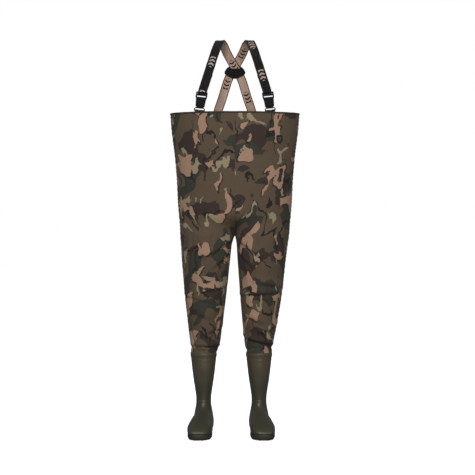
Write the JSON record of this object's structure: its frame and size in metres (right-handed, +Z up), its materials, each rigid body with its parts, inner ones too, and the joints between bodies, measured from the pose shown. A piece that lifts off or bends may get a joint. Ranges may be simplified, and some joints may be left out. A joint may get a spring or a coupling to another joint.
{
  "type": "chest waders",
  "caption": "Chest-high waders with a camouflage fabric body, moulded boots, crossed elastic braces and two side-release buckles.",
  "frame": {"origin": "on the floor between the two boots, at the middle of the object's box", "axes": "+Z up; the wearer faces -Y; +X is the wearer's left"},
  "size_m": [0.5444, 0.3452, 1.6568],
  "materials": {
    "camo_fabric": "woven polyester with a camouflage print, PVC coated inside",
    "lining_tape": "smooth heat-sealed tape",
    "hem_tape": "ribbed binding tape",
    "boot_pvc": "satin moulded PVC",
    "boot_sole": "matt moulded PVC with cleats",
    "insole_foam": "knitted face on foam",
    "webbing": "ribbed elastic webbing",
    "buckle_plastic": "moulded acetal",
    "patch_leather": "grained synthetic leather",
    "badge_rubber": "moulded soft rubber"
  },
  "bodies": {
    "root": {"left_front_torso_panel": "camo_fabric", "right_front_torso_panel": "camo_fabric", "left_back_torso_panel": "camo_fabric", "right_back_torso_panel": "camo_fabric", "hem_binding": "hem_tape", "front_seam_tape": "lining_tape", "back_seam_tape": "lining_tape", "chest_badge": "badge_rubber", "left_chest_tab": "webbing", "right_chest_tab": "webbing", "left_buckle_plug": "buckle_plastic", "right_buckle_plug": "buckle_plastic", "left_front_strap": "webbing", "right_front_strap": "webbing", "left_back_strap": "webbing", "right_back_strap": "webbing", "inner_cross_patch": "patch_leather", "outer_cross_patch": "patch_leather"},
    "left_thigh": {"left_front_thigh_panel": "camo_fabric", "left_back_thigh_panel": "camo_fabric", "left_front_hip_crease": "camo_fabric", "left_back_hip_crease": "camo_fabric"},
    "left_lower_leg": {"left_knee_crease": "camo_fabric", "left_front_shin_panel": "camo_fabric", "left_back_shin_panel": "camo_fabric", "left_boot_seal": "boot_pvc", "left_boot_upper": "boot_pvc", "left_outsole": "boot_sole", "left_insole": "insole_foam"},
    "left_buckle_socket": {"left_buckle_socket": "buckle_plastic", "left_strap_wrap": "webbing"},
    "left_strap_tail": {"left_strap_tail": "webbing"},
    "left_outer_prong": {"left_outer_prong": "buckle_plastic"},
    "left_inner_prong": {"left_inner_prong": "buckle_plastic"},
    "right_thigh": {"right_front_thigh_panel": "camo_fabric", "right_back_thigh_panel": "camo_fabric", "right_front_hip_crease": "camo_fabric", "right_back_hip_crease": "camo_fabric"},
    "right_lower_leg": {"right_knee_crease": "camo_fabric", "right_front_shin_panel": "camo_fabric", "right_back_shin_panel": "camo_fabric", "right_boot_seal": "boot_pvc", "right_boot_upper": "boot_pvc", "right_outsole": "boot_sole", "right_insole": "insole_foam"},
    "right_buckle_socket": {"right_buckle_socket": "buckle_plastic", "right_strap_wrap": "webbing"},
    "right_strap_tail": {"right_strap_tail": "webbing"},
    "right_outer_prong": {"right_outer_prong": "buckle_plastic"},
    "right_inner_prong": {"right_inner_prong": "buckle_plastic"}
  },
  "joints": [
    {"name": "left_hip", "type": "hinge", "parent": "root", "child": "left_thigh", "pos_m": [0.115, 0.036, 0.82], "axis": [-1, 0, 0], "range_deg": [-15, 75], "deforming": ["left_front_hip_crease", "left_back_hip_crease"]},
    {"name": "left_knee", "type": "hinge", "parent": "left_thigh", "child": "left_lower_leg", "pos_m": [0.1, 0.011, 0.53], "axis": [1, 0, 0], "range_deg": [0, 75], "deforming": ["left_knee_crease"]},
    {"name": "left_buckle_release", "type": "slide", "parent": "root", "child": "left_buckle_socket", "axis": [-0.1416, 0.0478, 0.9888], "range_m": [0, 0.035], "deforming": ["left_front_strap", "left_outer_prong", "left_inner_prong"]},
    {"name": "left_strap_adjust", "type": "slide", "parent": "left_buckle_socket", "child": "left_strap_tail", "axis": [-0.3, 0.0654, 0.9517], "range_m": [0, 0.06]},
    {"name": "left_outer_prong_squeeze", "type": "hinge", "parent": "root", "child": "left_outer_prong", "pos_m": [0.1553, -0.06401, 1.37694], "axis": [0.2811, -0.9558, 0.0865], "range_deg": [0, 7], "stiffness_Nm_per_rad": 0.2},
    {"name": "left_inner_prong_squeeze", "type": "hinge", "parent": "root", "child": "left_inner_prong", "pos_m": [0.13157, -0.07127, 1.37389], "axis": [-0.2811, 0.9558, -0.0865], "range_deg": [0, 7], "stiffness_Nm_per_rad": 0.2},
    {"name": "right_hip", "type": "hinge", "parent": "root", "child": "right_thigh", "pos_m": [-0.115, 0.036, 0.82], "axis": [-1, 0, 0], "range_deg": [-15, 75], "deforming": ["right_front_hip_crease", "right_back_hip_crease"]},
    {"name": "right_knee", "type": "hinge", "parent": "right_thigh", "child": "right_lower_leg", "pos_m": [-0.1, 0.011, 0.53], "axis": [1, 0, 0], "range_deg": [0, 75], "deforming": ["right_knee_crease"]},
    {"name": "right_buckle_release", "type": "slide", "parent": "root", "child": "right_buckle_socket", "axis": [0.1416, 0.0478, 0.9888], "range_m": [0, 0.035], "deforming": ["right_front_strap", "right_outer_prong", "right_inner_prong"]},
    {"name": "right_strap_adjust", "type": "slide", "parent": "right_buckle_socket", "child": "right_strap_tail", "axis": [0.3, 0.0654, 0.9517], "range_m": [0, 0.06]},
    {"name": "right_outer_prong_squeeze", "type": "hinge", "parent": "root", "child": "right_outer_prong", "pos_m": [-0.1553, -0.06401, 1.37694], "axis": [0.2811, 0.9558, -0.0865], "range_deg": [0, 7], "stiffness_Nm_per_rad": 0.2},
    {"name": "right_inner_prong_squeeze", "type": "hinge", "parent": "root", "child": "right_inner_prong", "pos_m": [-0.13157, -0.07127, 1.37389], "axis": [-0.2811, -0.9558, 0.0865], "range_deg": [0, 7], "stiffness_Nm_per_rad": 0.2}
  ],
  "couplings": [
    {"joint": "left_inner_prong_squeeze", "follows": "left_outer_prong_squeeze", "ratio": 1},
    {"joint": "right_inner_prong_squeeze", "follows": "right_outer_prong_squeeze", "ratio": 1}
  ]
}
